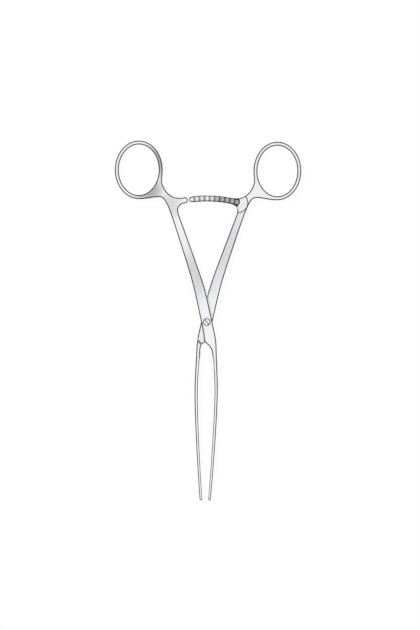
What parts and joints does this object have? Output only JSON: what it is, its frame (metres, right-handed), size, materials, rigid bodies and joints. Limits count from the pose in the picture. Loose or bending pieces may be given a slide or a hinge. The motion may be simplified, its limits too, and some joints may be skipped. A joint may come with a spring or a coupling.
{
  "type": "bowel clamp",
  "caption": "Straight ring-handled bowel clamp of satin stainless steel: lap joint with a slotted screw, long ratchet bar, and slim bowed jaws with lengthwise grooves.",
  "frame": {"origin": "on the joint's axis, in the plane of the table: the middle of the screw's end face, flush with the back of the rear half", "axes": "+Z along the joint's axis, up from the table to the viewer; +Y from the joint towards the finger rings; +X to the viewer's right"},
  "size_m": [0.119, 0.2293, 0.0056],
  "materials": {
    "front_half": "satin",
    "rear_half": "satin",
    "joint_screw": "satin"
  },
  "bodies": {
    "rear": {"rear_half": "rear_half", "joint_screw": "joint_screw"},
    "front": {"front_half": "front_half"}
  },
  "joints": [
    {"name": "clamp_joint", "type": "hinge", "parent": "rear", "child": "front", "pos_m": [0, 0, 0.0028], "axis": [0, 0, 1], "range_deg": [-1.8, 60]}
  ]
}
